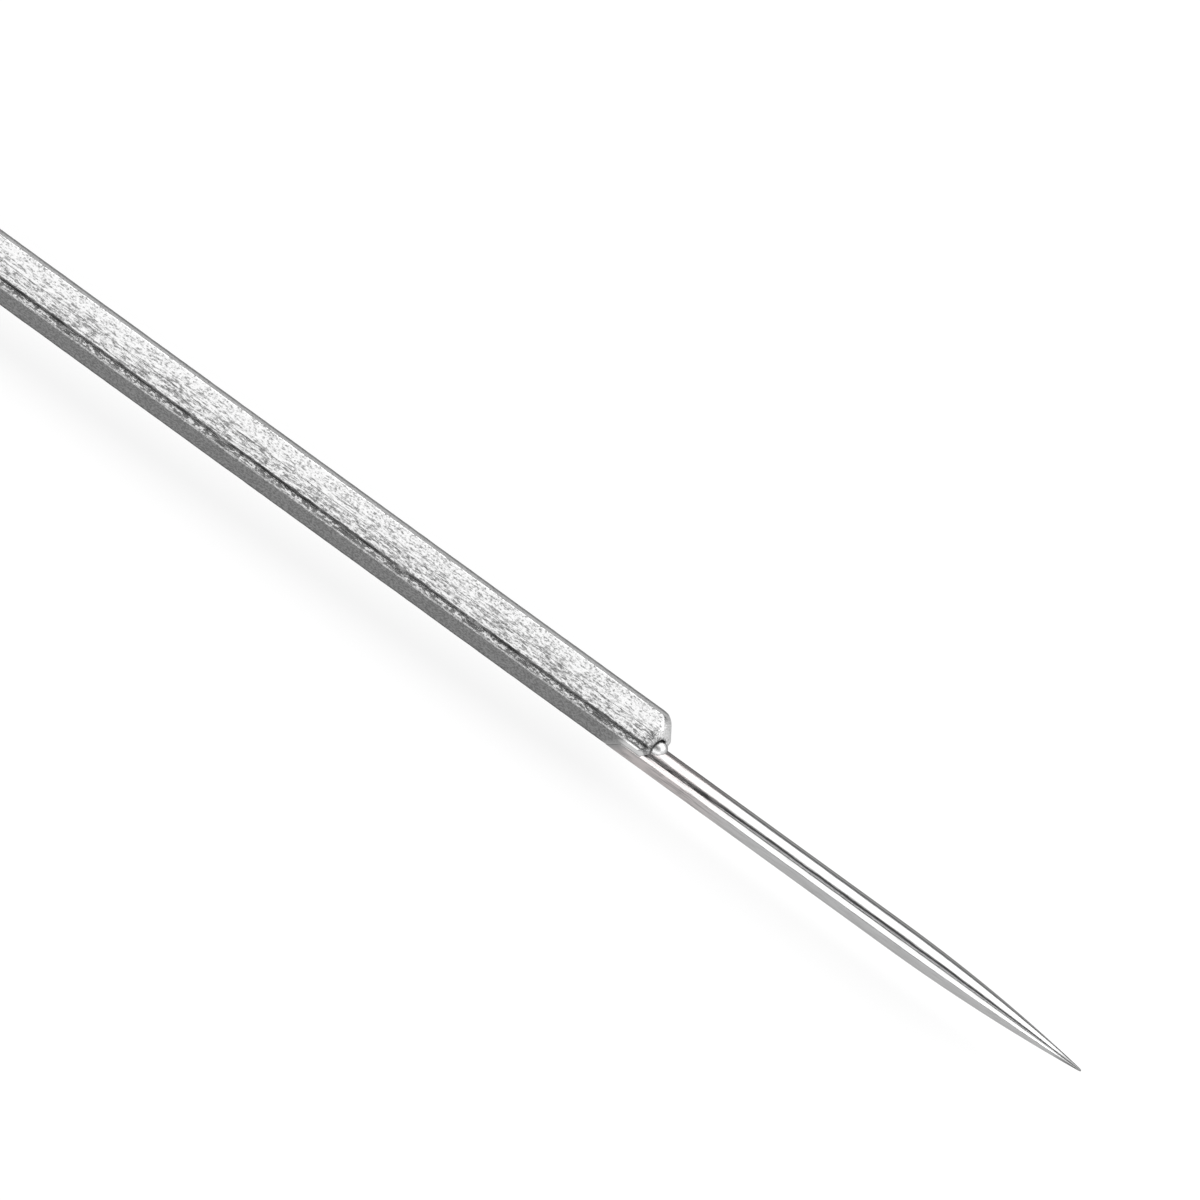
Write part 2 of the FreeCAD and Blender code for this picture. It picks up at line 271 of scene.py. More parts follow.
# %% [markdown]
# ## The shank
#
# The nose is a blunt cone with a rounded shoulder. It could be cut with a turned tool and a
# Boolean, but a formula is cleaner: at each ring, a point that lies outside the nose's radius is
# pulled in to it, so wherever the octagon is wider than the cone, the cone wins. The part inside
# the handle is never seen and gets only a few rings.

# %% The nose's radius
NOSE_WIDE = CORNER_RADIUS + 0.01
NOSE_START = (NOSE_X - (NOSE_WIDE - NOSE_END_RADIUS) / math.tan(NOSE_SLOPE)
              - NOSE_SHOULDER_RADIUS * math.tan(NOSE_SLOPE / 2))
CONE_START = NOSE_START + NOSE_SHOULDER_RADIUS * math.sin(NOSE_SLOPE)


def nose_radius(x):
    """The nose's own radius at x: a bar, then a rounded shoulder, then a cone."""
    if x >= CONE_START:
        return NOSE_END_RADIUS + (NOSE_X - x) * math.tan(NOSE_SLOPE)
    past = max(0.0, x - NOSE_START)
    fall = NOSE_SHOULDER_RADIUS - math.sqrt(NOSE_SHOULDER_RADIUS ** 2 - past ** 2)
    return NOSE_WIDE - fall


print("nose: shoulder, cone and end at x, mm:",
      round(NOSE_START, 2), round(CONE_START, 2), round(NOSE_X, 2))

# %% The shank bar
HIDDEN_RINGS, BAR_RINGS, SHOULDER_RINGS, CONE_RINGS = 5, 330, 40, 24


def shank_ring(x):
    """The outline at x, held inside the nose and given its relief."""
    limit = nose_radius(x)
    ring = []
    for y, z in SHANK_OUTLINE:
        radius = math.hypot(y, z)
        scale = min(1.0, limit / radius)
        relief = blasted(x, y, z) + groove_fill(x, y, z)
        scale *= 1 + relief / radius
        ring.append((x, y * scale, z * scale))
    return ring


HIDDEN_X = span("front_collar", 0)[1]
stations = spread(TAIL_X, HIDDEN_X, HIDDEN_RINGS)[:-1]
stations += spread(HIDDEN_X, NOSE_START, BAR_RINGS)[:-1]
stations += spread(NOSE_START, CONE_START, SHOULDER_RINGS)[:-1]
stations += spread(CONE_START, NOSE_X, CONE_RINGS)
shank = skin("shank_bar", [shank_ring(x) for x in stations])
print("shank faces:", len(shank.data.polygons))

# %% [markdown]
# ## The socket in the nose
#
# The blade comes out of a socket that breaks through two of the shank's flats, and a small pocket
# above it shows the braze. Both are cut with Boolean modifiers, because their edges run over the
# nose in curves that no formula here gives. The result is baked into the mesh.

# %% The cutters' shapes
ROUND_STEPS, EGG_ROWS = 96, 48
BEAD_SIDE = polar(1, math.radians(35))
OPEN_SIDE = polar(1, math.radians(125))


def circle(x, radius, centre, lean=0.0):
    """A ring about an axis along X. A leaning ring goes back as it goes down."""
    ring = []
    for i in range(ROUND_STEPS):
        turn = 2 * math.pi * i / ROUND_STEPS
        y, z = centre[0] + radius * math.cos(turn), centre[1] + radius * math.sin(turn)
        ring.append((x + lean * (z - centre[1]), y, z))
    return ring


def egg(name, x, centre, long_half, round_half):
    """A closed egg shape whose own axis is along X."""
    rings = []
    for row in range(1, EGG_ROWS):
        turn = math.pi * row / EGG_ROWS
        rings.append(circle(x - long_half * math.cos(turn), round_half * math.sin(turn), centre))
    return skin(name, rings)


def aside(out, lift):
    """A centre moved from the blade's own towards the bead's side and the open side."""
    return tuple(BLADE_CENTRE[k] + BEAD_SIDE[k] * out + OPEN_SIDE[k] * lift for k in range(2))


def cut(piece, *cutters):
    """Cuts the cutters away from the piece, bakes the result and removes the cutters."""
    for cutter in cutters:
        boolean = piece.modifiers.new("cut", "BOOLEAN")
        boolean.operation = "DIFFERENCE"
        boolean.solver = "EXACT"
        boolean.object = cutter
    evaluated = piece.evaluated_get(bpy.context.evaluated_depsgraph_get())
    mesh = bpy.data.meshes.new_from_object(evaluated)
    piece.modifiers.clear()
    piece.data = mesh
    for cutter in cutters:
        bpy.data.objects.remove(cutter)


print("points round a cutter:", ROUND_STEPS)

# %% Cutting the socket and the pocket
SEAT_ROOM, PAST_NOSE = 0.004, 1.0
POCKET_OUT, POCKET_LIFT, POCKET_X = 0.56, 0.5, POINT_X - 21.44
POCKET_LONG, POCKET_ROUND = 0.46, 0.4

seat_x = SHOULDER_X - SEAT_ROOM
socket = skin("socket", [
    circle(SHOULDER_X - (TANG_LENGTH + FILM), TANG_RADIUS + FILM, BLADE_CENTRE),
    circle(seat_x, TANG_RADIUS + FILM, BLADE_CENTRE, SHOULDER_LEAN),
    circle(seat_x, BLADE_RADIUS + FILM, BLADE_CENTRE, SHOULDER_LEAN),
    circle(NOSE_X + PAST_NOSE, BLADE_RADIUS + FILM, BLADE_CENTRE),
])
pocket = egg("pocket", POCKET_X, aside(POCKET_OUT, POCKET_LIFT), POCKET_LONG, POCKET_ROUND)
cut(shank, socket, pocket)
shank.data.shade_smooth()
shank.data.set_sharp_from_angle(angle=math.radians(40))
print("shank faces after cutting:", len(shank.data.polygons))

# %% [markdown]
# ## The blade's section
#
# The blade starts as a round rod. Two flats are ground on it, level with two of the shank's flats,
# and one fine flute runs along it to the point. The section is drawn about the blade's own centre:
# the corner between the flats, a strip of the rod, the V of the flute, and the rod's round top.

# %% The blade's outline
FLUTE_MIDDLE = math.radians(119)
FLUTE_HALF = math.radians(10.5)
FLUTE_DEPTH = 0.11
FLAT_DISTANCE = APOTHEM - BLADE_OFFSET * math.cos(HALF_FACET)
FLAT_HALF = math.acos(FLAT_DISTANCE / BLADE_RADIUS)
STRIP_POINTS, TOP_POINTS = 9, 90
CORNER_EASE, FLAT_EASE, LIP_EASE, FLUTE_EASE = 0.02, 0.03, 0.012, 0.02
EASE_STEPS = 4
ROD_FROM = BLADE_CORNER + HALF_FACET + FLAT_HALF - 2 * math.pi
ROD_TO = BLADE_CORNER - HALF_FACET - FLAT_HALF


def blade_corners():
    """The section's corners and how far each is eased, from its corner up and over the top."""
    corners = [polar(CORNER_RADIUS - BLADE_OFFSET, BLADE_CORNER)]
    eases = [CORNER_EASE]
    strip = spread(ROD_TO, FLUTE_MIDDLE + FLUTE_HALF, STRIP_POINTS)
    corners += [polar(BLADE_RADIUS, turn) for turn in strip]
    eases += [FLAT_EASE] + [0] * (STRIP_POINTS - 2) + [LIP_EASE]
    corners.append(polar(BLADE_RADIUS - FLUTE_DEPTH, FLUTE_MIDDLE))
    eases.append(FLUTE_EASE)
    over = spread(FLUTE_MIDDLE - FLUTE_HALF, ROD_FROM, TOP_POINTS)
    corners += [polar(BLADE_RADIUS, turn) for turn in over]
    eases += [LIP_EASE] + [0] * (TOP_POINTS - 2) + [FLAT_EASE]
    return corners, eases


def eased(corners, eases):
    """The outline with a short curve at each corner that is eased."""
    outline = []
    for i, corner in enumerate(corners):
        if eases[i] == 0:
            outline.append(corner)
            continue
        here = Vector(corner)
        to_before = Vector(corners[i - 1]) - here
        to_after = Vector(corners[(i + 1) % len(corners)]) - here
        reach = min(eases[i], to_before.length * 0.45, to_after.length * 0.45)
        start, end = here + to_before.normalized() * reach, here + to_after.normalized() * reach
        for k in range(EASE_STEPS + 1):
            t = k / EASE_STEPS
            point = start.lerp(here, t).lerp(here.lerp(end, t), t)
            outline.append((point.x, point.y))
    return outline


BLADE_OUTLINE = eased(*blade_corners())
TANG_OUTLINE = [(y * TANG_RADIUS / math.hypot(y, z), z * TANG_RADIUS / math.hypot(y, z))
                for y, z in BLADE_OUTLINE]
print("points round the blade:", len(BLADE_OUTLINE))

# %% [markdown]
# ## The blade's taper
#
# The last stretch of the blade follows an arc that starts level with the rod, so the whole section
# shrinks towards the point without a visible start. The rings stand closer together towards the
# point, where the eye looks. A needle is never perfectly sharp, so the taper aims a little past the
# point and a few shrinking rings round it off.

# %% The blade's rings
BLUNT = 0.35          # the taper would end this far past the point
TIP_ROUND = 0.06      # so the point itself is rounded over this length
SHOULDER_CLEAR = 0.7  # upright rings start this far past the leaning shoulder
STRAIGHT_RINGS, TAPER_RINGS, TIP_RINGS = 40, 90, 12
CROWDING = 1.15


def point_scale(distance):
    """The blade's width, from 0 to 1, at this distance from its point."""
    if distance >= POINT_LENGTH:
        return 1.0
    arc = (BLADE_RADIUS ** 2 + POINT_LENGTH ** 2) / (2 * BLADE_RADIUS)
    drop = arc - math.sqrt(arc ** 2 - (POINT_LENGTH - distance) ** 2)
    return 1 - drop / BLADE_RADIUS


def blade_ring(x, outline=BLADE_OUTLINE, scale=1.0, lean=0.0):
    """An outline about the blade's centre, placed at x."""
    return [(x + lean * z, BLADE_CENTRE[0] + y * scale, BLADE_CENTRE[1] + z * scale)
            for y, z in outline]


rings = [blade_ring(SHOULDER_X - TANG_LENGTH, TANG_OUTLINE),
         blade_ring(SHOULDER_X, TANG_OUTLINE, lean=SHOULDER_LEAN),
         blade_ring(SHOULDER_X, lean=SHOULDER_LEAN)]
straight = spread(SHOULDER_X + SHOULDER_CLEAR, POINT_X - POINT_LENGTH, STRAIGHT_RINGS)
rings += [blade_ring(x) for x in straight]
for k in range(1, TAPER_RINGS):
    distance = POINT_LENGTH * (1 - k / TAPER_RINGS) ** CROWDING
    blunter = distance + BLUNT * (1 - distance / POINT_LENGTH)
    if distance > TIP_ROUND:
        rings.append(blade_ring(POINT_X - distance, scale=point_scale(blunter)))
for k in range(TIP_RINGS):
    turn = math.pi / 2 * (k + 0.5) / (TIP_RINGS + 0.5)
    scale = point_scale(BLUNT) * math.cos(turn)
    rings.append(blade_ring(POINT_X - TIP_ROUND * (1 - math.sin(turn)), scale=scale))
blade = skin("blade", rings, sharp_degrees=28)
print("blade faces:", len(blade.data.polygons))

# %% [markdown]
# ## The braze
#
# Silver braze holds the blade in its socket. A film of it fills the gap, and a rounded bead stands
# where it was drawn out at the top. The bead is an egg half sunk in the nose, and the film is a
# thin shell that stops just inside the nose.

# %% The braze bead and film
BEAD_OUT, BEAD_LIFT, BEAD_X = 0.43, 0.17, POINT_X - 21.34
BEAD_LONG, BEAD_ROUND = 0.50, 0.51
FILM_LOOPS, FILM_TURN_ROOM = 80, 0.1
BLADE_ROOM, SOCKET_ROOM, SEAT_GAP = 0.002, 0.004, 0.02
FILM_SHORTEST, FILM_SUNK = 0.05, 0.06


def film_exit(turn):
    """Where the film's outer face reaches the nose, in this direction from the blade."""
    y, z = (BLADE_CENTRE[k] + polar(BLADE_RADIUS + FILM, turn)[k] for k in range(2))
    x = NOSE_X
    while nose_radius(x) < math.hypot(y, z):
        x -= 0.01
    return x


bead = egg("braze_bead", BEAD_X, aside(BEAD_OUT, BEAD_LIFT), BEAD_LONG, BEAD_ROUND)
inner, outer = BLADE_RADIUS + BLADE_ROOM, BLADE_RADIUS + FILM - SOCKET_ROOM
film_loops = []
for turn in spread(ROD_FROM + FILM_TURN_ROOM, ROD_TO - FILM_TURN_ROOM, FILM_LOOPS):
    low = SHOULDER_X + SHOULDER_LEAN * inner * math.sin(turn) + SEAT_GAP
    high = max(low + FILM_SHORTEST, film_exit(turn) - FILM_SUNK)
    loop = []
    for x, radius in ((low, inner), (low, outer), (high, outer), (high, inner)):
        y, z = polar(radius, turn)
        loop.append((x, BLADE_CENTRE[0] + y, BLADE_CENTRE[1] + z))
    film_loops.append(loop)
film = skin("braze_film", film_loops)
print("bead and film faces:", len(bead.data.polygons), len(film.data.polygons))

# %% [markdown]
# ## Turned and moulded rings
#
# The collar, the size ring, the cap and the depth stop are turned shapes. Each is a profile of
# (x, radius) corners, where a radius may also be a formula of the angle, which makes the octagonal
# bore and the stop's notch. Corners are eased with short curves before the profile is turned.

# %% A turned shape
PROFILE_STEPS = 6


def value_at(radius, turn):
    return radius(turn) if callable(radius) else radius


def at_turn(corner, turn):
    x, radius = corner
    return (x, *polar(value_at(radius, turn), turn))


def eased_corner(before, corner, after, ease, t):
    """One step of the short curve that replaces a profile's corner."""
    to_before = Vector((before[0] - corner[0], value_at(before[1], 0) - value_at(corner[1], 0)))
    to_after = Vector((after[0] - corner[0], value_at(after[1], 0) - value_at(corner[1], 0)))
    start = to_before.normalized() * ease
    end = to_after.normalized() * ease
    step = start.lerp(Vector((0, 0)), t).lerp(Vector((0, 0)).lerp(end, t), t)
    return corner[0] + step.x, lambda turn: value_at(corner[1], turn) + step.y


def turned(name, profile, looped, around=160):
    """Turns a profile about the shank's axis. Each corner is (x, radius or formula, easing)."""
    corners = []
    for i, (x, radius, ease) in enumerate(profile):
        if ease == 0:
            corners.append((x, radius))
            continue
        before, after = profile[i - 1], profile[(i + 1) % len(profile)]
        for k in range(PROFILE_STEPS + 1):
            corners.append(eased_corner(before, (x, radius), after, ease, k / PROFILE_STEPS))
    turns = [2 * math.pi * j / around for j in range(around)]
    return skin(name, [[at_turn(corner, turn) for turn in turns] for corner in corners], looped)


def octagon_radius(clearance):
    """The distance to an octagonal wall in each direction."""
    def radius(turn):
        part = (turn + HALF_FACET) % (math.pi / 4) - HALF_FACET
        return (APOTHEM + clearance) / math.cos(part)
    return radius


print("octagonal wall at a flat and at a corner, mm:",
      round(octagon_radius(0)(0), 3), round(octagon_radius(0)(HALF_FACET), 3))

# %% [markdown]
# ## The handle's hard pieces
#
# The cap closes the handle's end. It has a shallow dimple in its face and a skirt that grips the
# hard core. The size ring is the band whose colour shows the file's size, and the collar covers the
# grip's front end round the shank. All three are injection mouldings with soft corners.

# %% Cap, size ring and collar
CORE_RADIUS = 1.75
CENTRE_HOLE = 0.02    # a turned profile may not touch its own axis
CAP_RADIUS, CAP_STEP_RADIUS, CAP_SKIRT, CAP_FLOOR = 2.4, 2.15, 1.8, 2.0
CAP_FACE, CAP_CHAMFER = 1.9, 0.5
DIMPLE_RADIUS, DIMPLE_MIDDLE, DIMPLE_DEPTH, DIMPLE_WALL = 1.3, 0.75, 0.25, 0.17
RING_RADIUS = 2.3
COLLAR_RADIUS, COLLAR_END_RADIUS, COLLAR_TAPER, COLLAR_WALL = 2.1, 1.8, 0.6, 0.3
COLLAR_CLEARANCE = 0.01

cap_low, cap_high = span("end_cap", 0)
cap = turned("cap", [
    (cap_low + DIMPLE_DEPTH, CENTRE_HOLE, 0),
    (cap_low + DIMPLE_WALL, DIMPLE_MIDDLE, 0),
    (cap_low, DIMPLE_RADIUS, 0.12),
    (cap_low, CAP_FACE, 0.12),
    (cap_low + CAP_CHAMFER, CAP_RADIUS, 0.2),
    (cap_low + CAP_SKIRT, CAP_RADIUS, 0.1),
    (cap_low + CAP_SKIRT, CAP_STEP_RADIUS, 0.06),
    (cap_high, CAP_STEP_RADIUS, 0.08),
    (cap_high, CORE_RADIUS, 0.03),
    (cap_low + CAP_FLOOR, CORE_RADIUS, 0),
    (cap_low + CAP_FLOOR, CENTRE_HOLE, 0),
], looped=False)

ring_low, ring_high = span("size_ring", 0)
size_ring = turned("size_band", [
    (ring_low, CORE_RADIUS, 0),
    (ring_low, RING_RADIUS, 0.16),
    (ring_high, RING_RADIUS, 0.16),
    (ring_high, CORE_RADIUS, 0),
], looped=True)

collar_low, collar_high = span("front_collar", 0)
collar_bore = octagon_radius(COLLAR_CLEARANCE)
collar = turned("collar", [
    (collar_low, CORE_RADIUS, 0),
    (collar_low, COLLAR_RADIUS, 0.08),
    (collar_high - COLLAR_TAPER, COLLAR_RADIUS, 0.25),
    (collar_high, COLLAR_END_RADIUS, 0.12),
    (collar_high, collar_bore, 0.04),
    (collar_high - COLLAR_WALL, collar_bore, 0),
    (collar_high - COLLAR_WALL, CORE_RADIUS, 0),
], looped=True, around=240)
print("cap, ring and collar faces:",
      [len(piece.data.polygons) for piece in (cap, size_ring, collar)])

# %% [markdown]
# ## The depth stop
#
# A soft disc that the dentist slides along the shank, so that it touches the tooth when the blade
# is as deep as it may go. Its bore takes the octagon's shape, and a shallow notch in its edge shows
# which way the instrument is turned. The notch is part of the edge's radius formula.

# %% The depth stop
STOP_RADIUS, STOP_CLEARANCE = 2.2, 0.03
NOTCH_TURN, NOTCH_HALF, NOTCH_DEPTH = math.radians(90), 0.24, 0.5
BORE_EASE, EDGE_EASE = 0.12, 0.35


def stop_radius(turn):
    """The disc's edge, with its shallow direction notch."""
    away = abs((turn - NOTCH_TURN + math.pi) % (2 * math.pi) - math.pi)
    dip = max(0.0, 1 - away / NOTCH_HALF)
    return STOP_RADIUS - NOTCH_DEPTH * (3 * dip ** 2 - 2 * dip ** 3)


stop_low, stop_high = span("depth_stop", 0)
stop_bore = octagon_radius(STOP_CLEARANCE)
stop = turned("stop", [
    (stop_low, stop_bore, BORE_EASE),
    (stop_low, stop_radius, EDGE_EASE),
    (stop_high, stop_radius, EDGE_EASE),
    (stop_high, stop_bore, BORE_EASE),
], looped=True, around=320)
print("stop faces:", len(stop.data.polygons))

# %% [markdown]
# ## Arithmetic on sockets
#
# Nodes hide simple sums behind many boxes. A small class wraps one socket and overloads the
# operators, so that each sum adds its Math node by itself, and one function adds any other node.
# The grip's shape and every finish below are written with them.

# %% A field and a node


class Field:
    """A value or vector socket in a node tree, so that node maths reads as arithmetic."""

    def __init__(self, tree, socket):
        self.tree, self.socket = tree, socket

    def math(self, operation, *others):
        return add_node(self.tree, "ShaderNodeMath", {"operation": operation},
                        dict(enumerate((self, *others))))

    def __add__(self, other):
        return self.math("ADD", other)

    __radd__ = __add__

    def __mul__(self, other):
        return self.math("MULTIPLY", other)

    __rmul__ = __mul__

    def __sub__(self, other):
        return self.math("SUBTRACT", other)

    def __rsub__(self, other):
        return (self * -1) + other

    def __truediv__(self, other):
        return self.math("DIVIDE", other)


def connect(tree, value, socket):
    """Links a Field to a socket, or sets the socket to a plain value."""
    if isinstance(value, Field):
        tree.links.new(value.socket, socket)
    else:
        socket.default_value = value


def add_node(tree, kind, settings=None, inputs=None, output=0):
    """Adds a node, sets it up, fills its inputs and returns one of its outputs as a Field."""
    node = tree.nodes.new(kind)
    for name, value in (settings or {}).items():
        setattr(node, name, value)
    for name, value in (inputs or {}).items():
        connect(tree, value, node.inputs[name])
    return Field(tree, node.outputs[output]) if node.outputs else None


def outputs_of(field):
    """Every output of the node that a Field comes from, by name."""
    return {socket.name: Field(field.tree, socket) for socket in field.socket.node.outputs}


print("operators: + - * /")

# %% [markdown]
# ## The grip
#
# The grip is a six-sided sleeve with ring grooves between its ribs. That is a rule, not a drawing,
# so Geometry Nodes make it: a flat grid is rolled into a tube, and the radius of each point comes
# from its angle and its place along the sleeve. Counts and sizes are inputs of the node group.

# %% The grip's radius
GRID_ROWS, GRID_COLUMNS = 301, 193
OUTSIDE_SHARE = 0.8
CORNER_BLEND, GROOVE_BLEND, END_BLEND = 0.35, 0.12, 0.1


def grip_radius(given, x, turn):
    """The outside's radius: a rounded hexagon, ring grooves and a narrower end."""
    sector = turn.math("MODULO", math.pi / 3) - math.pi / 6
    apothem = given["Flats"] / 2
    hexagon = apothem / sector.math("COSINE")
    rounded = hexagon.math("SMOOTH_MIN", given["Corner Limit"], CORNER_BLEND)

    # Each point looks for its nearest groove. Past the groove's radius the floor is lifted out of
    # the way, so only the hexagon is left.
    pitch = given["Length"] / (given["Grooves"] + 1)
    nearest = (x / pitch).math("ROUND").math("MAXIMUM", 1).math("MINIMUM", given["Grooves"])
    off = (x - nearest * pitch).math("ABSOLUTE")
    wide = given["Groove Radius"]
    bowl = (wide * wide - off * off).math("MAXIMUM", 0.0).math("SQRT")
    groove_floor = apothem - given["Groove Depth"] + wide - bowl
    lifted = groove_floor + off.math("GREATER_THAN", wide)
    grooved = rounded.math("SMOOTH_MIN", lifted, GROOVE_BLEND)

    from_end = x.math("MINIMUM", given["Length"] - x).math("MAXIMUM", 0.0)
    rise = (from_end / given["End Length"]).math("MINIMUM", 1.0).math("SINE")
    end_round = given["End Radius"] + given["End Rise"] * rise
    return grooved.math("SMOOTH_MIN", end_round, END_BLEND)


print("grid points:", GRID_ROWS * GRID_COLUMNS)

# %% The grip's node group
GRIP_INPUTS = ("Start", "Length", "Height", "Flats", "Corner Limit", "Bore", "Grooves",
               "Groove Radius", "Groove Depth", "End Radius", "End Rise", "End Length")


def ribbed_grip_tree():
    """A grid rolled into a closed tube, with its faces outward and a material."""
    tree = bpy.data.node_groups.new("RibbedGrip", "GeometryNodeTree")
    for name in GRIP_INPUTS:
        tree.interface.new_socket(name, in_out="INPUT", socket_type="NodeSocketFloat")
    tree.interface.new_socket("Material", in_out="INPUT", socket_type="NodeSocketMaterial")
    tree.interface.new_socket("Geometry", in_out="OUTPUT", socket_type="NodeSocketGeometry")
    given = outputs_of(add_node(tree, "NodeGroupInput"))

    grid = add_node(tree, "GeometryNodeMeshGrid", inputs={
        "Size X": 1, "Size Y": 1, "Vertices X": GRID_ROWS, "Vertices Y": GRID_COLUMNS})
    position = add_node(tree, "GeometryNodeInputPosition")
    flat = outputs_of(add_node(tree, "ShaderNodeSeparateXYZ", inputs={0: position}))
    u = flat["X"] + 0.5
    turn = (flat["Y"] + 0.5) * (2 * math.pi)

    # The first row starts on the bore, so that it closes the tube's end with the last row. The
    # next rows are the outside, as far as its share, and the rest is the bore, back again.
    outside = u.math("LESS_THAN", OUTSIDE_SHARE) * u.math("GREATER_THAN", 0.5 / GRID_ROWS)
    share_out = u.math("MINIMUM", OUTSIDE_SHARE) / OUTSIDE_SHARE
    steep = 1 / (1 - OUTSIDE_SHARE)
    share_back = u.math("MAXIMUM", OUTSIDE_SHARE) * steep - OUTSIDE_SHARE * steep
    x = share_out * (1 - share_back) * given["Length"]

    radius = outside * grip_radius(given, x, turn) + (1 - outside) * given["Bore"]
    place = add_node(tree, "ShaderNodeCombineXYZ", inputs={
        "X": (given["Start"] + x) * MM,
        "Y": radius * turn.math("COSINE") * MM,
        "Z": (radius * turn.math("SINE") + given["Height"]) * MM})

    mesh = add_node(tree, "GeometryNodeSetPosition", inputs={"Geometry": grid, "Position": place})
    mesh = add_node(tree, "GeometryNodeMergeByDistance", inputs={
        "Geometry": mesh, "Distance": 0.0005 * MM})
    mesh = add_node(tree, "GeometryNodeFlipFaces", inputs={"Mesh": mesh})
    mesh = add_node(tree, "GeometryNodeSetShadeSmooth", inputs={"Geometry": mesh})
    mesh = add_node(tree, "GeometryNodeRealizeInstances", inputs={"Geometry": mesh})
    mesh = add_node(tree, "GeometryNodeSetMaterial", inputs={
        "Geometry": mesh, "Material": given["Material"]})
    add_node(tree, "NodeGroupOutput", inputs={0: mesh})
    return tree


GRIP_TREE = ribbed_grip_tree()
print("nodes in the grip's group:", len(GRIP_TREE.nodes))

# %% [markdown]
# ## Finishes
#
# Every finish reads Object coordinates, which here are metres in the file's own frame, so they are
# scaled to millimetres first. A pattern that is squeezed along X is drawn out along the bar. Masks
# are values from 0 to 1 that say where a tone or a wear belongs.

# %% A finish


def grey(level):
    return (level, level, level, 1.0)


def blend(factor, first, second):
    """A value that goes from first to second as the factor goes from 0 to 1."""
    return (1 - factor) * first + factor * second


class Finish:
    """A material with one Principled shader and the file's own coordinates in millimetres."""

    def __init__(self, name):
        self.material = bpy.data.materials.new(name)
        self.material.use_nodes = True
        self.tree = self.material.node_tree
        self.shader = self.tree.nodes["Principled BSDF"]
        here = self.node("ShaderNodeTexCoord", output="Object")
        self.mm = self.vector("SCALE", {0: here, "Scale": 1 / MM})
        parts = outputs_of(self.node("ShaderNodeSeparateXYZ", inputs={0: self.mm}))
        self.x, self.y, self.z = parts["X"], parts["Y"], parts["Z"]

    def node(self, kind, settings=None, inputs=None, output=0):
        return add_node(self.tree, kind, settings, inputs, output)

    def vector(self, operation, inputs, output="Vector"):
        """Vector maths on inputs that are given by their place or name."""
        return self.node("ShaderNodeVectorMath", {"operation": operation}, inputs, output)

    def stretched(self, along):
        """Coordinates squeezed along X, so that a pattern runs with the bar."""
        return self.vector("MULTIPLY", {0: self.mm, 1: (along, 1.0, 1.0)})

    def noise(self, vector, scale, detail=3.0, roughness=0.55):
        return self.node("ShaderNodeTexNoise", inputs={
            "Vector": vector, "Scale": scale, "Detail": detail, "Roughness": roughness})

    def ramp(self, value, low, high):
        """0 below low, 1 above high and smooth between them."""
        return self.node("ShaderNodeMapRange", {"interpolation_type": "SMOOTHSTEP"}, {
            "Value": value, "From Min": low, "From Max": high})

    def band(self, value, low, high, soft):
        """1 between low and high, with soft edges."""
        return self.ramp(value, low - soft / 2, low + soft / 2) * (
            1 - self.ramp(value, high - soft / 2, high + soft / 2))

    def along(self, degrees):
        """How far a point is from the shank's axis in this direction of the cross-section."""
        turn = math.radians(degrees)
        return self.y * math.cos(turn) + (self.z - AXIS_HEIGHT) * math.sin(turn)

    def distance(self, place):
        """The distance to a place given about the shank's axis, in millimetres."""
        x, y, z = place
        return self.vector("DISTANCE", {0: self.mm, 1: (x, y, z + AXIS_HEIGHT)}, "Value")

    def past_shoulder(self):
        """How far a point is in front of the blade's slanted shoulder, in millimetres."""
        up = self.z - AXIS_HEIGHT - BLADE_CENTRE[1]
        return self.x - (SHOULDER_X + up * SHOULDER_LEAN)

    def mix(self, factor, first, second):
        """A colour that goes from first to second as the factor goes from 0 to 1."""
        return self.node("ShaderNodeMix", {"data_type": "RGBA"}, {
            "Factor": factor, 6: first, 7: second}, output=2)

    def bump(self, height, distance):
        """A bump whose height is in the range 0 to 1 and stands distance millimetres tall."""
        self.set(Normal=self.node("ShaderNodeBump", inputs={
            "Height": height, "Distance": distance * MM, "Strength": 1.0}))

    def set(self, **values):
        """Sets or links the shader's own sockets, named with underscores for spaces."""
        for name, value in values.items():
            connect(self.tree, value, self.shader.inputs[name.replace("_", " ")])


print("a grey in the middle:", grey(0.5))

# %% [markdown]
# ### Blasted satin steel: the tone
#
# The grit leaves bright facets and dark pits, drawn out along the bar by the wheel that went
# before. One noise makes the short grain and one makes the streaks, and the grooved facet has more
# of the streaks. The side flat is painted darker as shade, because it sees only the floor, and the
# groove's lower wall is flecked with light. The edges of these areas are ragged rather than ruled.

# %% The satin steel's patterns and areas
satin = Finish("satin_steel")
grain = satin.noise(satin.stretched(0.7), 13.0, 3.0, 0.65)
streaks = satin.noise(satin.stretched(0.22), 13.0, 3.0, 0.7)
broad = satin.noise(satin.stretched(0.3), 1.3, 2.0, 0.5)
ragged = satin.noise(satin.stretched(0.35), 6.0, 3.0, 0.65)

corner = -CORNER_RADIUS * math.sin(HALF_FACET)
groove_top = corner + GROOVE_TO
height = satin.along(45) + (ragged - 0.5) * 0.16
grooved_facet = satin.ramp(satin.along(135), 0.85, 0.95)
lower_wall = satin.band(height, corner + GROOVE_FROM, corner + GROOVE_DEEPEST, 0.03)
upper_wall = satin.band(height, corner + GROOVE_DEEPEST, groove_top, 0.03)
side_flat = satin.ramp(satin.y * -1 + (ragged - 0.5) * 0.14, APOTHEM - 0.12, APOTHEM - 0.06)
far_flat = satin.ramp(satin.along(45), APOTHEM - 0.05, APOTHEM - 0.02)
print("groove between heights, mm:", round(corner + GROOVE_FROM, 3), round(groove_top, 3))

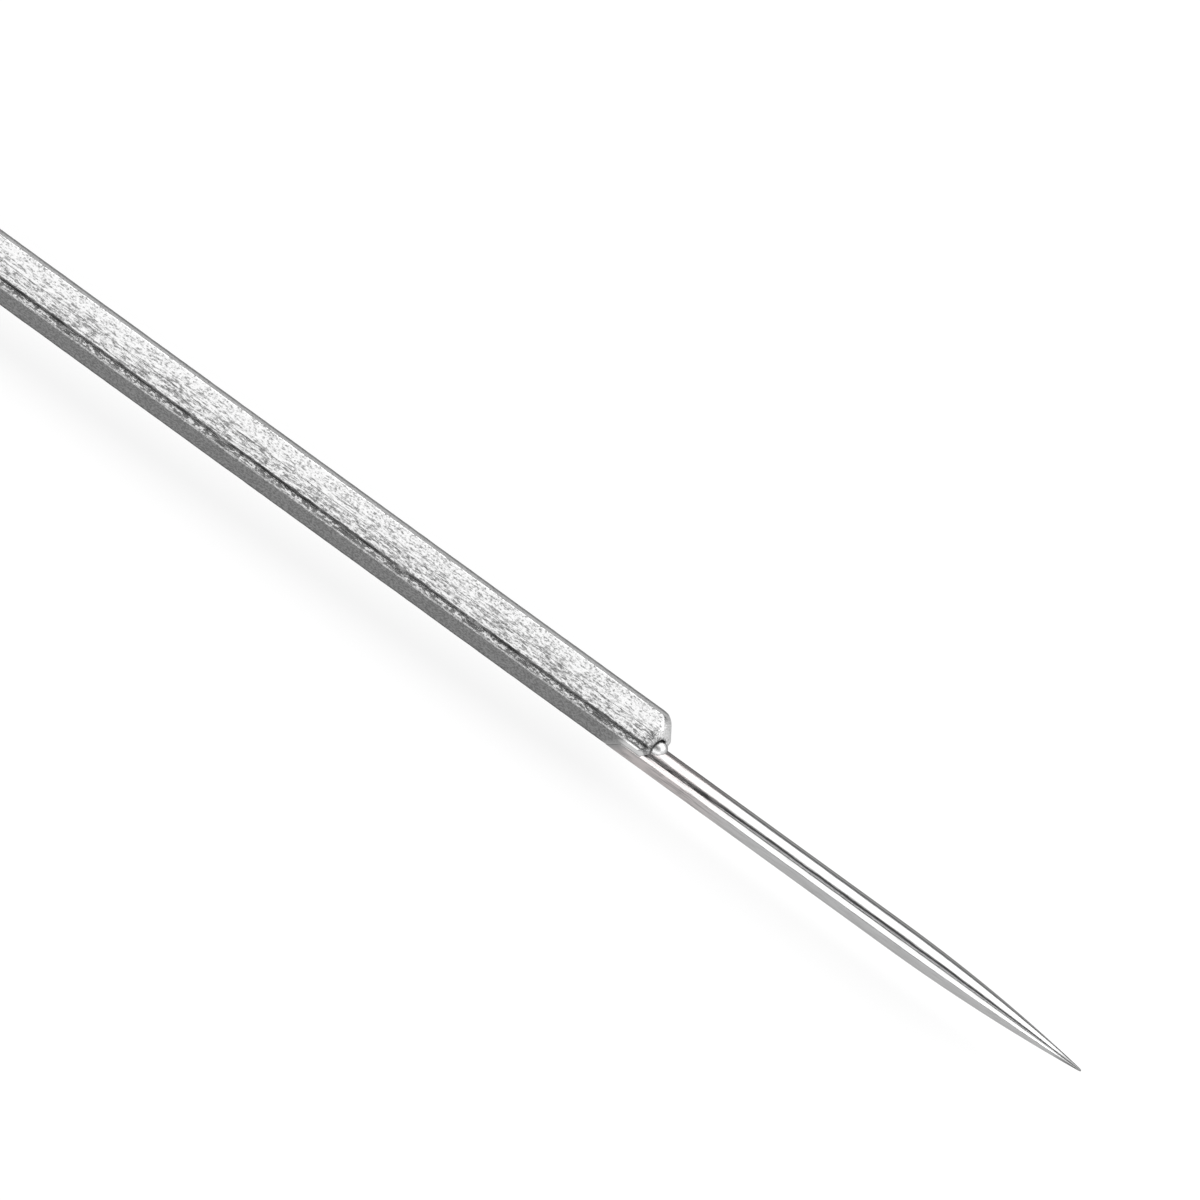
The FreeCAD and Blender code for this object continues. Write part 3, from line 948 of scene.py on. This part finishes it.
# %% The satin steel's tone
relief = blend(0.35 + 0.3 * grooved_facet, grain, streaks)
tone = satin.ramp(relief + (broad - 0.5) * 0.08 - 0.02 * grooved_facet, 0.37, 0.54)
# Painted shade: the side flat is given a darker tone, because it sees only the floor.
tone = blend(side_flat, tone, 0.12 + 0.5 * satin.ramp(grain, 0.36, 0.64))
flecks = satin.ramp(satin.noise(satin.stretched(0.5), 11.0, 2.0, 0.6), 0.46, 0.56)
tone = blend(lower_wall * grooved_facet, tone, flecks)
print("satin steel nodes so far:", len(satin.tree.nodes))

# %% [markdown]
# ### Blasted satin steel: painted shade, painted light and wear
#
# Painted shade darkens the groove's upper wall in broken lengths, and a few long scratches run
# above it. Painted shade also darkens the nose in and round the pocket and behind it. The lowest
# arris of the side flat and the far upper arris are painted dark as shade. The cone of the nose and
# the upper side of its end are painted lighter as light, and the end of the side flat was polished
# when the blade was ground level with it.

# %% Painted shade in the groove, round the pocket and on the arrises, and scratches
broken = 0.1 + 0.8 * satin.ramp(satin.noise(satin.stretched(0.25), 3.0), 0.42, 0.6)
lines = satin.ramp(satin.noise(satin.stretched(0.07), 14.0, 2.0, 0.5), 0.57, 0.66)
scratches = lines * satin.band(height, groove_top, groove_top + 0.5, 0.1)
pit = satin.distance((POCKET_X, *aside(POCKET_OUT, POCKET_LIFT)))
behind_pit = 1 - satin.ramp(satin.x, POCKET_X - 0.35, POCKET_X + 0.1)
# Painted shade: the nose is darkened in and round the pocket and behind it.
pocket_shade = (1 - satin.ramp(pit + (grain - 0.5) * 1.5, 0.45, 1.0)) * behind_pit
pocket_shade = pocket_shade.math("MAXIMUM", 1 - satin.ramp(pit + (grain - 0.5) * 0.3, 0.42, 0.50))
# Painted shade: the lowest arris of the side flat and the far upper arris are darkened.
low_arris_shade = satin.ramp(satin.along(202.5), CORNER_RADIUS - 0.055, CORNER_RADIUS - 0.025)
far_arris_shade = satin.ramp(satin.along(22.5), CORNER_RADIUS - 0.22, CORNER_RADIUS - 0.10)
# Painted shade: the groove's upper wall is darkened in broken lengths. The scratches are real wear.
shade_and_scratches = (upper_wall * grooved_facet * broken).math("MAXIMUM", pocket_shade * 0.8)
shade_and_scratches = shade_and_scratches.math("MAXIMUM", low_arris_shade * 0.5).math("MAXIMUM", far_arris_shade * 0.95)
shade_and_scratches = shade_and_scratches.math("MAXIMUM", scratches * grooved_facet * 0.6)
print("satin steel nodes so far:", len(satin.tree.nodes))

# %% Painted light on the nose, the polished end and the satin steel's colour
polish = satin.ramp(satin.past_shoulder(), -0.5, 0.05) * side_flat
glint = satin.band(satin.z - AXIS_HEIGHT, 0.24, 0.50, 0.1) * polish
# Painted light: the upper side of the nose's end is given a lighter colour.
nose_top_light = (satin.ramp(satin.x, NOSE_X - 1.2, NOSE_X - 0.4) * (0.4 + 0.6 * tone)
             * satin.ramp(satin.along(35), 0.0, 0.6))
# Painted light: the nose's cone is given a much lighter colour.
cone = (satin.ramp(satin.x, NOSE_START + 0.3, CONE_START + 0.1)
        * (0.2 + 0.8 * satin.ramp(grain, 0.38, 0.56)))

colour = satin.mix(tone, grey(0.12), grey(0.35))
colour = satin.mix(far_flat * tone, colour, grey(0.55))
colour = satin.mix(nose_top_light, colour, grey(0.4))
colour = satin.mix(cone, colour, grey(0.7))
colour = satin.mix(shade_and_scratches * 0.9, colour, grey(0.06))
colour = satin.mix(polish, colour, grey(0.31))
colour = satin.mix(glint, colour, grey(0.60))
satin.set(Metallic=1.0, Specular_Tint=grey(0.65), Base_Color=colour,
          Roughness=(0.25 + 0.17 * (1 - tone)) * (1 - polish * 0.3))
satin.bump(relief * (1 - polish * 0.8), 0.012)
print("satin steel nodes:", len(satin.tree.nodes))

# %% [markdown]
# ### Polished steel
#
# The blade was ground lengthwise and then polished, so it mirrors the lamps in long bands. The
# flute's upper wall is painted dark as shade, and so is the blade's top where it lies in the
# pocket.
# The heat of the brazing has dulled and warmed the root, where fine drawn lines also show, and the
# far rim mirrors the dark room. The angle round the blade's own centre says which band a point is
# in.

# %% The polished steel's areas
polished = Finish("polished_steel")
drawn_lines = polished.noise(polished.stretched(0.03), 40.0, 2.0, 0.5)
scuff_lines = polished.noise(polished.stretched(0.05), 26.0, 2.0, 0.5)
cloud = polished.noise(polished.stretched(0.5), 1.6, 3.0, 0.5)
smear = polished.noise(polished.stretched(0.35), 4.0, 3.0, 0.6)
centre_y = polished.y - BLADE_CENTRE[0]
centre_z = polished.z - AXIS_HEIGHT - BLADE_CENTRE[1]
round_turn = centre_z.math("ARCTAN2", centre_y) / math.radians(1) + (smear - 0.5) * 5

root = 1 - polished.ramp(polished.x, NOSE_X + 0.6, NOSE_X + 5.0)
lip, valley = math.degrees(FLUTE_MIDDLE - FLUTE_HALF), math.degrees(FLUTE_MIDDLE)
# Painted shade: the flute's upper wall is darkened.
flute_wall_shade = polished.band(round_turn, lip, valley - 4.5 + root * 10, 1.5)
joint = 1 - polished.ramp(polished.past_shoulder() + (smear - 0.5) * 0.1, -0.05, 0.6)
inside = 1 - polished.ramp(polished.x, NOSE_X - 0.75, NOSE_X - 0.45)
# Painted shade: the blade's top is darkened where it lies in the pocket.
pit = inside * polished.band(round_turn, 0, 130, 6)
point_end = polished.ramp(polished.x, POINT_X - 1.6, POINT_X - 0.4)
rim = (polished.ramp(round_turn, -40, 0)
       * (1 - polished.ramp(round_turn, 42, 58 + 24 * root)))
drawn = polished.ramp(scuff_lines + (smear - 0.5) * 0.2, 0.48, 0.62) * (0.25 + 0.5 * root)
scuffed = (polished.band(polished.x, NOSE_X + 0.5, NOSE_X + 2.0, 0.5)
           * polished.band(centre_z, 0.0, 0.36, 0.06)
           * polished.ramp(scuff_lines, 0.50, 0.60)
           * polished.ramp(centre_y * -1, 0.50, 0.54))
print("flute's dark wall starts at, degrees:", round(lip, 1))

# %% The polished steel's colour
colour = polished.mix(cloud, grey(0.42), grey(0.52))
colour = polished.mix(root * 0.5, colour, (0.54, 0.47, 0.46, 1.0))
colour = polished.mix(joint, colour, grey(0.31))
colour = polished.mix(rim * 0.7, colour, grey(0.10))
colour = polished.mix(drawn, colour, grey(0.27))
# Painted shade on the flute's upper wall and on the blade's top inside the pocket.
flute_shade = flute_wall_shade * (0.95 - root * 0.5 * polished.ramp(smear, 0.4, 0.65))
colour = polished.mix(flute_shade.math("MAXIMUM", pit * 0.85), colour, grey(0.045))
colour = polished.mix((scuffed * 0.9).math("MAXIMUM", point_end * 0.85), colour, grey(0.14))
polished.set(Metallic=1.0, Specular_Tint=grey(0.25), Base_Color=colour,
             Roughness=0.16 + 0.07 * cloud + 0.10 * joint + 0.09 * root)
polished.bump(drawn_lines + scuffed * 0.5, 0.0012)
print("polished steel nodes:", len(polished.tree.nodes))

# %% [markdown]
# ### Braze and pin steel
#
# The bead froze as it flowed: bright, softly uneven and without a grain. The pin is cut from drawn
# wire, so its lines run along its own length, which is across the file.

# %% Braze and pin steel
braze = Finish("silver_braze")
flowed = braze.noise(braze.mm, 7.0, 3.0, 0.5)
braze.set(Metallic=1.0, Specular_Tint=grey(0.12),
          Base_Color=braze.mix(flowed, grey(0.36), grey(0.50)),
          Roughness=0.32 + 0.08 * flowed)
braze.bump(flowed, 0.006)

pin = Finish("pin_steel")
wire = pin.noise(pin.vector("MULTIPLY", {0: pin.mm, 1: (1.0, 0.05, 1.0)}), 30.0)
pin.set(Metallic=1.0, Base_Color=pin.mix(wire, grey(0.4), grey(0.55)), Roughness=0.25 + 0.2 * wire)
print("braze and pin nodes:", len(braze.tree.nodes), len(pin.tree.nodes))

# %% [markdown]
# ### Plastics and silicone
#
# Moulded plastic has a faint orange-peel skin and slight clouds of colour. Silicone is duller and
# patchier and has a fine moulded texture. Each is one function, because several pieces share it
# and differ only in colour.

# %% Plastics and silicone


def moulded_plastic(name, colour, deep, roughness):
    """A hard, slightly glossy plastic that goes from the deep colour to the other in clouds."""
    finish = Finish(name)
    cloud = finish.noise(finish.mm, 0.9, 3.0, 0.5)
    peel = finish.noise(finish.mm, 6.0, 2.0, 0.5)
    finish.set(Base_Color=finish.mix(cloud, (*deep, 1.0), (*colour, 1.0)),
               Roughness=roughness + 0.12 * cloud,
               Coat_Weight=0.3,
               Coat_Roughness=0.08)
    finish.bump(peel, 0.004)
    return finish.material


def silicone(name, colour, deep):
    """A soft, dull silicone that goes from the deep colour to the other in patches."""
    finish = Finish(name)
    fine = finish.noise(finish.mm, 18.0, 3.0, 0.6)
    patches = finish.noise(finish.mm, 1.4, 4.0, 0.6)
    finish.set(Base_Color=finish.mix(finish.ramp(patches, 0.3, 0.7), (*deep, 1.0), (*colour, 1.0)),
               Roughness=0.52 + 0.16 * fine,
               Sheen_Weight=0.15)
    finish.bump(fine, 0.006)
    return finish.material


CORE = moulded_plastic("core_plastic", (0.48, 0.48, 0.46), (0.42, 0.42, 0.40), 0.4)
WHITE = moulded_plastic("collar_plastic", (0.50, 0.50, 0.485), (0.44, 0.44, 0.43), 0.25)
BLUE = moulded_plastic("cap_plastic", (0.016, 0.07, 0.27), (0.011, 0.05, 0.21), 0.22)
GRIP = silicone("grip_silicone", (0.022, 0.08, 0.24), (0.014, 0.055, 0.17))
STOP = silicone("stop_silicone", (0.42, 0.055, 0.02), (0.33, 0.038, 0.014))
print("plastics and silicones:", [m.name for m in (CORE, WHITE, BLUE, GRIP, STOP)])

# %% [markdown]
# ## The grip's mesh
#
# The node group is a modifier on an empty mesh. Its inputs are set by their identifiers, and the
# evaluated result becomes a plain mesh.

# %% The grip's mesh
grip_low, grip_high = span("grip_sleeve", 0)
grip = bpy.data.objects.new("grip", bpy.data.meshes.new("grip"))
bpy.context.scene.collection.objects.link(grip)
modifier = grip.modifiers.new("ribs", "NODES")
modifier.node_group = GRIP_TREE
sizes = {"Start": grip_low, "Length": grip_high - grip_low, "Height": AXIS_HEIGHT,
         "Flats": 2 * AXIS_HEIGHT, "Corner Limit": 2.72, "Bore": CORE_RADIUS, "Grooves": 7.0,
         "Groove Radius": 0.45, "Groove Depth": 0.28, "End Radius": 2.15, "End Rise": 0.65,
         "End Length": 0.5, "Material": GRIP}
for item in GRIP_TREE.interface.items_tree:
    if item.in_out == "INPUT":
        modifier[item.identifier] = sizes[item.name]
grip.update_tag()
evaluated = grip.evaluated_get(bpy.context.evaluated_depsgraph_get())
grip_mesh = bpy.data.meshes.new_from_object(evaluated)
grip.modifiers.clear()
grip.data = grip_mesh
print("grip faces:", len(grip.data.polygons))

# %% [markdown]
# ## The whole file
#
# Each made piece gets its finish and rides on its body, and the design nodes that it stands for
# are hidden. The stop rides on its own body, because it slides along the shank. The handle's core
# and the pin hardly show, so their design meshes stay and only get a finish.

# %% Finishes and bodies


def finished(piece, material, body, slot, *nodes):
    """Gives a made piece its finish and its body, and hides the design nodes it stands for. The
    slot is not used.
    """
    piece.data.materials.clear()
    piece.data.materials.append(material)
    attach(piece, body)
    if nodes:
        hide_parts(*nodes)


finished(shank, satin.material, "file", "satin_steel", "shank")
finished(blade, polished.material, "file", "polished_steel", "file_blade")
finished(bead, braze.material, "file", "silver_braze", "braze_joint")
finished(film, braze.material, "file", "silver_braze")
finished(grip, GRIP, "file", "grip_silicone", "grip_sleeve")
finished(cap, BLUE, "file", "cap_plastic", "end_cap")
finished(size_ring, WHITE, "file", "ring_plastic", "size_ring")
finished(collar, WHITE, "file", "collar_plastic", "front_collar")
finished(stop, STOP, "depth_stop", "stop_silicone", "depth_stop")
for node, material in (("handle_core", CORE), ("tail_pin", pin.material)):
    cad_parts[node].data.materials.clear()
    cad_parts[node].data.materials.append(material)
print("pieces finished: 9 made, 2 from the design")

# %% [markdown]
# ## Floor
#
# A plain pale floor. Most of its brightness is its own glow, so it stays even and white, and the
# little that it reflects lets a faint soft shadow ground the file. It lies a hair below the file,
# so that the two surfaces never share a plane.

# %% Floor
FLOOR_HALF, FLOOR_GAP = 1.5, 0.005
floor_z = CAD_BOX[0].z - FLOOR_GAP * MM
floor_mesh = bpy.data.meshes.new("floor")
floor_mesh.from_pydata([(-FLOOR_HALF, -FLOOR_HALF, floor_z), (FLOOR_HALF, -FLOOR_HALF, floor_z),
                        (FLOOR_HALF, FLOOR_HALF, floor_z), (-FLOOR_HALF, FLOOR_HALF, floor_z)],
                       [], [(0, 1, 2, 3)])
floor = bpy.data.objects.new("floor", floor_mesh)
bpy.context.scene.collection.objects.link(floor)
pale = Finish("pale_floor")
pale.set(Base_Color=grey(0.14), Roughness=0.9, Specular_IOR_Level=0.0,
         Emission_Color=grey(1.0), Emission_Strength=0.80)
floor_mesh.materials.append(pale.material)
print("floor height, mm:", round(floor_z / MM, 3))

# %% [markdown]
# ## Light
#
# Three broad lamps make the bands on the blade. One hangs behind the file and one stands on the
# camera's side, so the upper flats are bright and the side flat sees only the floor. The third
# stands beyond the point and lights the cone of the nose. A weak grey room fills the rest.

# %% Light


def lamp(name, direction, across, deep, distance, radiance):
    """A broad lamp that faces the file from this direction. Its sizes are in metres."""
    data = bpy.data.lights.new(name, "AREA")
    data.shape = "RECTANGLE"
    data.size, data.size_y = across, deep
    data.energy = radiance * math.pi * across * deep
    light = bpy.data.objects.new(name, data)
    away = Vector(direction).normalized()
    light.location = away * distance
    light.rotation_euler = away.to_track_quat("Z", "Y").to_euler()
    bpy.context.scene.collection.objects.link(light)
    print(name, "energy:", round(data.energy, 2))


lamp("overhead_bank", (0, *polar(1, math.radians(57))), 1.5, 0.46, 0.42, 2.6)
lamp("front_bank", (0, *polar(1, math.radians(145))), 1.5, 0.225, 0.42, 2.8)
lamp("end_bank", (0.893, 0.157, 0.423), 1.6, 0.84, 0.9, 1.4)
world = bpy.data.worlds.new("studio")
bpy.context.scene.world = world
world.use_nodes = True
world.node_tree.nodes["Background"].inputs["Color"].default_value = grey(0.9)
world.node_tree.nodes["Background"].inputs["Strength"].default_value = 0.3

# %% [markdown]
# ## Camera
#
# The camera looks square at the file's length from above its side, rolled so that the file runs
# down to the right. Its lens is long, so the bar does not narrow with distance. The view is 48 mm
# across, and the blade's point is placed as a share of it, to the right of and below the middle.

# %% Camera
VIEW_SIDE = 48.0 * MM
ELEVATION = math.radians(55)
ROLL = math.atan(0.725)
POINT_RIGHT, POINT_DOWN = 0.4008, 0.3925
DISTANCE = 0.6
SENSOR = 36
away = Vector((0, -math.cos(ELEVATION), math.sin(ELEVATION)))
level_up = Vector((0, math.sin(ELEVATION), math.cos(ELEVATION)))
right = Vector((1, 0, 0)) * math.cos(ROLL) + level_up * math.sin(ROLL)
up = away.cross(right)
point = Vector((POINT_X, BLADE_CENTRE[0], BLADE_CENTRE[1] + AXIS_HEIGHT)) * MM
target = point - right * (POINT_RIGHT * VIEW_SIDE) + up * (POINT_DOWN * VIEW_SIDE)
camera_data = bpy.data.cameras.new("camera")
camera_data.sensor_width = SENSOR
camera_data.lens = SENSOR * DISTANCE / VIEW_SIDE
camera_data.clip_start, camera_data.clip_end = 0.01, 10
camera = bpy.data.objects.new("camera", camera_data)
camera.matrix_world = Matrix((right, up, away)).transposed().to_4x4()
camera.location = target + away * DISTANCE
bpy.context.scene.collection.objects.link(camera)
bpy.context.scene.camera = camera
bpy.context.scene.view_settings.view_transform = "Standard"
print("lens, mm:", round(camera_data.lens))
